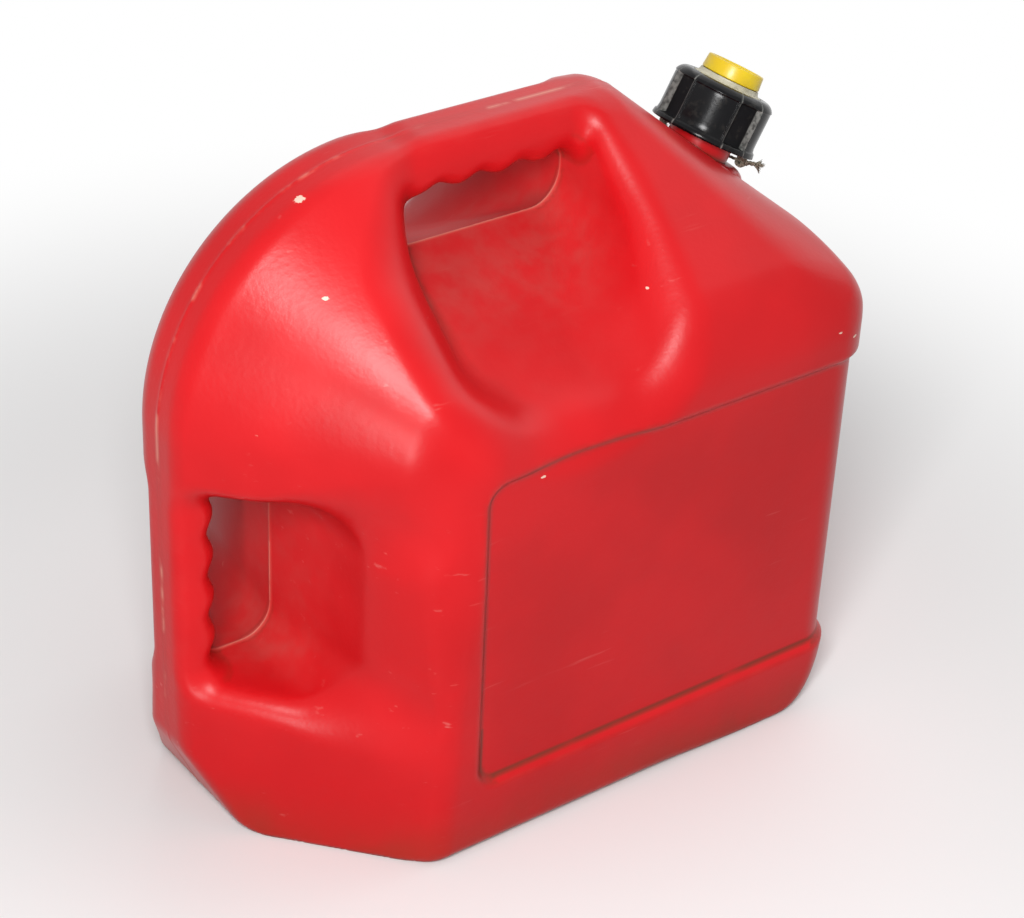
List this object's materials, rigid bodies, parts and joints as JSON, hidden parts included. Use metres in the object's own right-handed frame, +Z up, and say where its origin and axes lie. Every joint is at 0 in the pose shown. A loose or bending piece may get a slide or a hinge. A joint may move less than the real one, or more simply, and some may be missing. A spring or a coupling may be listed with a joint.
{
  "type": "gas can",
  "caption": "Blow-moulded petrol can with hand holes at its top and back, and a screw collar that holds a stowed spout and its stopper in a slanted neck.",
  "frame": {"origin": "on the surface that the can stands on, under the middle of its whole box", "axes": "+Z up, +X from the back handle towards the neck, +Y to the left of someone who looks along +X"},
  "size_m": [0.379, 0.248, 0.3615],
  "materials": {
    "red_tank": "satin",
    "black_rubber": "matte",
    "cream_spout": "satin",
    "black_collar": "gloss",
    "yellow_stopper": "satin",
    "olive_twine": "matte"
  },
  "bodies": {
    "tank": {"tank_body": "red_tank"},
    "spout": {"spout_tube": "cream_spout", "neck_gasket": "black_rubber"},
    "collar": {"screw_collar": "black_collar", "tether_twine": "olive_twine"},
    "stopper": {"mouth_stopper": "yellow_stopper"}
  },
  "joints": [
    {"name": "spout_lift", "type": "slide", "parent": "tank", "child": "spout", "axis": [0.4924, 0, 0.8704], "range_m": [0, 0.0076]},
    {"name": "collar_turn", "type": "hinge", "parent": "spout", "child": "collar", "pos_m": [0.15119, 0, 0.31042], "axis": [0.4924, 0, 0.8704], "range_deg": [0, 450]},
    {"name": "stopper_pull", "type": "slide", "parent": "spout", "child": "stopper", "axis": [0.4924, 0, 0.8704], "range_m": [0, 0.02]}
  ],
  "couplings": [
    {"joint": "spout_lift", "follows": "collar_turn", "m_per_rad": 0.00095493}
  ]
}
